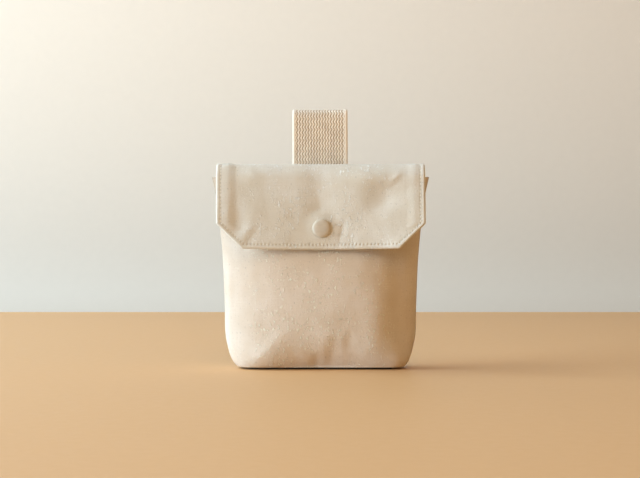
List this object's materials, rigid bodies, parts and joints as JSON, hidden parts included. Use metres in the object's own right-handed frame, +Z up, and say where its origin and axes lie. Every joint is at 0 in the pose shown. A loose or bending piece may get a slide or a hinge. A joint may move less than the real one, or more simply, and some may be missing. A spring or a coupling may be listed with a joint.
{
  "type": "dog treat pouch",
  "caption": "Free-standing cotton canvas pouch with boxed bottom corners, a snap-closed flap with cut-off corners and a standing webbing loop.",
  "frame": {"origin": "on the surface that the pouch stands on, under the middle of its outer box", "axes": "+Z up, the front with the flap and snap faces -Y, +X to the right as seen from the front"},
  "size_m": [0.148, 0.0446, 0.179],
  "materials": {
    "canvas": "natural unbleached plain-woven cotton canvas",
    "flap_canvas": "two layers of the same natural cotton canvas, turned and topstitched",
    "webbing": "natural cotton webbing in a herringbone weave",
    "snap_plastic": "satin sand-coloured moulded plastic"
  },
  "bodies": {
    "root": {"front_panel": "canvas", "back_panel": "canvas", "flap": "flap_canvas", "belt_loop": "webbing", "snap_cap": "snap_plastic", "snap_socket": "snap_plastic", "snap_stud": "snap_plastic", "stud_cap": "snap_plastic"}
  },
  "joints": []
}
